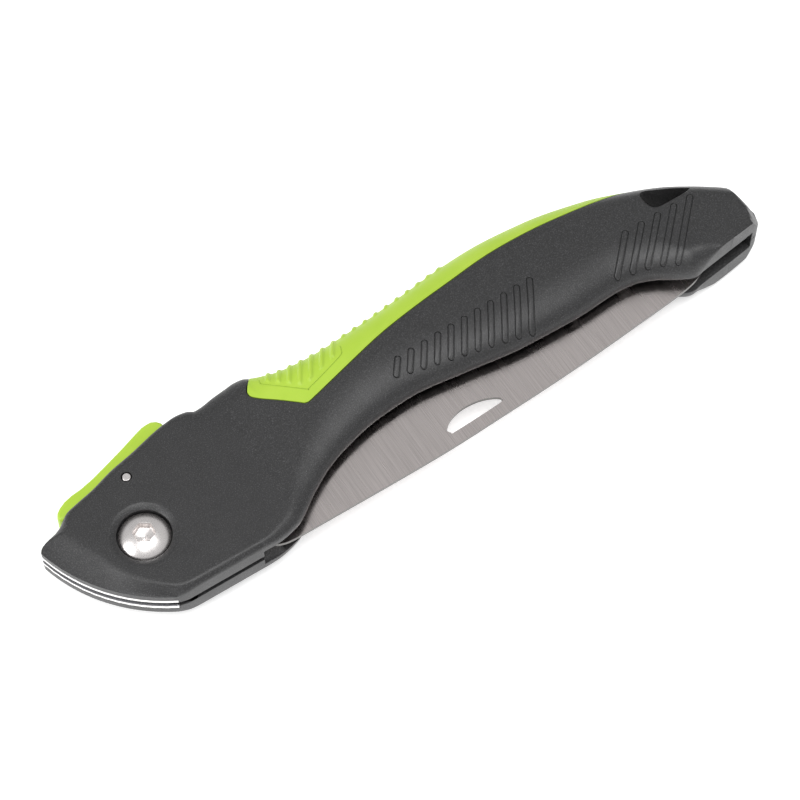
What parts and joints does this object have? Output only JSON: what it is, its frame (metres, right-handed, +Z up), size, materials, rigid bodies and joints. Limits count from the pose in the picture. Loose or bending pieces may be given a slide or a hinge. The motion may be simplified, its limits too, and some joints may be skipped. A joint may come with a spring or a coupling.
{
  "type": "folding pruning saw",
  "caption": "Folding pruning saw, folded: a toothed steel blade pivots out of a two-half contoured handle with soft inlays, and a sprung spine lever locks it.",
  "frame": {"origin": "bottom centre of the folded saw's box, lying on its back half", "axes": "+X along the handle from the pivot end to the butt, +Y towards the spine with the lock lever, +Z up through the handle's thickness to the front half"},
  "size_m": [0.2228, 0.0506, 0.022],
  "materials": {
    "grip_plastic": "dark grey glass-filled nylon, fine satin grain",
    "inlay_soft": "lime green soft overmould, satin",
    "lever_plastic": "lime green moulded plastic, satin",
    "blade_steel": "cross-ground spring steel",
    "liner_steel": "bright stamped steel",
    "fastener_steel": "polished stainless steel",
    "spring_steel": "drawn spring wire",
    "bearing_bronze": "sintered bronze"
  },
  "bodies": {
    "handle": {"handle_shell_front": "grip_plastic", "handle_shell_back": "grip_plastic", "grip_inlay_front": "inlay_soft", "grip_inlay_back": "inlay_soft", "liner_front": "liner_steel", "liner_back": "liner_steel", "pivot_screw": "fastener_steel", "pivot_nut": "fastener_steel", "pivot_bush": "bearing_bronze", "washer_front": "bearing_bronze", "washer_back": "bearing_bronze", "lever_pin": "fastener_steel", "lever_spring": "spring_steel", "open_stop_pin": "fastener_steel", "closed_stop_pin": "fastener_steel", "handle_screw_1": "fastener_steel", "handle_screw_2": "fastener_steel", "handle_screw_3": "fastener_steel"},
    "blade": {"saw_blade": "blade_steel"},
    "lever": {"lock_lever": "liner_steel", "lock_button": "lever_plastic"}
  },
  "joints": [
    {"name": "blade_pivot", "type": "hinge", "parent": "handle", "child": "blade", "pos_m": [-0.0862, -0.00505, 0.011], "axis": [0, 0, -1], "range_deg": [0, 180]},
    {"name": "lock_lever", "type": "hinge", "parent": "handle", "child": "lever", "pos_m": [-0.0816, 0.01225, 0.011], "axis": [0, 0, -1], "range_deg": [0, 8], "stiffness_Nm_per_rad": 0.6, "springref_deg": -2.86, "deforming": ["lever_spring"]}
  ]
}
